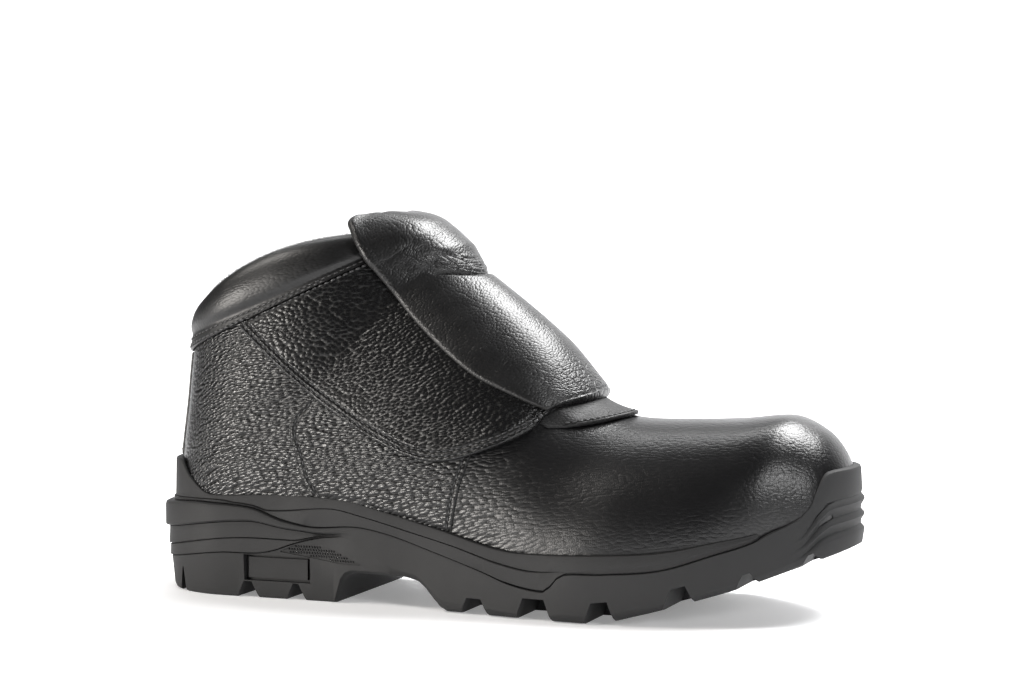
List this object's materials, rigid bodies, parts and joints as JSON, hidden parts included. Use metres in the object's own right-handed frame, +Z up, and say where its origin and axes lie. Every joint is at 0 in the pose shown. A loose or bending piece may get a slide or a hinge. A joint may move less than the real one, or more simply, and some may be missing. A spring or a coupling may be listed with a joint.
{
  "type": "welding boot",
  "caption": "Black ankle-high leather work boot with a padded spark flap over the throat, a padded collar and a lugged grey sole with a ribbed toe bumper, standing empty.",
  "frame": {"origin": "middle of the boot's box, on the plane of the tread", "axes": "+X from heel to toe, +Y towards the inner (medial) side, +Z up"},
  "size_m": [0.31, 0.1084, 0.1653],
  "materials": {
    "pebbled_leather": "black, pebbled, semi-gloss",
    "smooth_leather": "black, smooth, satin",
    "sole_rubber": "dark grey, matte",
    "sole_foam": "dark grey, matte",
    "insole_felt": "black felt"
  },
  "bodies": {
    "root": {"upper": "pebbled_leather", "wing_outer_side": "pebbled_leather", "wing_inner_side": "pebbled_leather", "spark_flap": "smooth_leather", "flap_band": "smooth_leather", "collar": "smooth_leather", "backstay": "smooth_leather", "outsole": "sole_rubber", "midsole": "sole_foam", "insole": "insole_felt"}
  },
  "joints": []
}
